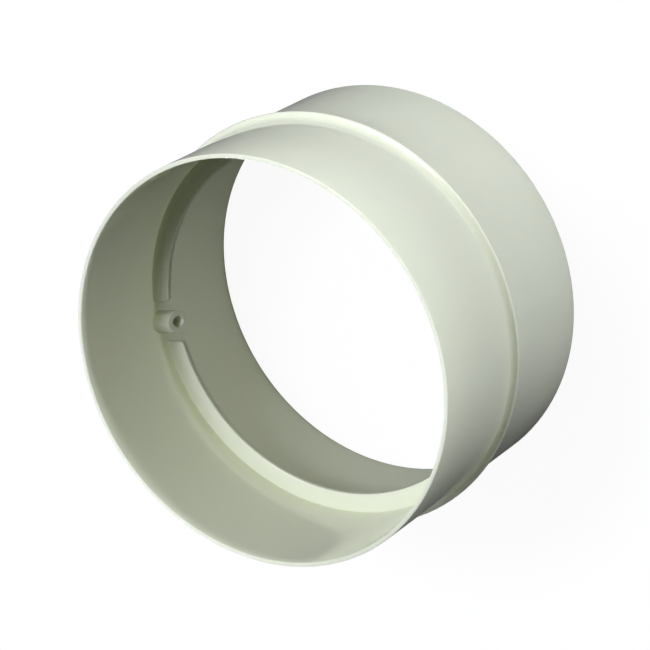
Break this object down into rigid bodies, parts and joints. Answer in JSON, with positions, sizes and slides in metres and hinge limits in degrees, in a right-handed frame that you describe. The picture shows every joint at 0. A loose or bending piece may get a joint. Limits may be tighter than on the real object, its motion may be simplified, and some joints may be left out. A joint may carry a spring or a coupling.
{
  "type": "round duct connector",
  "caption": "Short round plastic duct connector: plain spigots either side of an outside stop bead, with split seat ribs and pivot bosses in the bore for a back-draught flap.",
  "frame": {"origin": "centre of the far rim's face, on the tube's axis, where the connector stands", "axes": "+Z along the tube's axis towards the near rim, +X along the line through the pivot bosses, +Y towards the rib that lies nearer the near rim"},
  "size_m": [0.1023, 0.1024, 0.062],
  "materials": {
    "connector_plastic": "smooth moulded, off-white with a faint green cast"
  },
  "bodies": {
    "root": {"connector_body": "connector_plastic"}
  },
  "joints": []
}
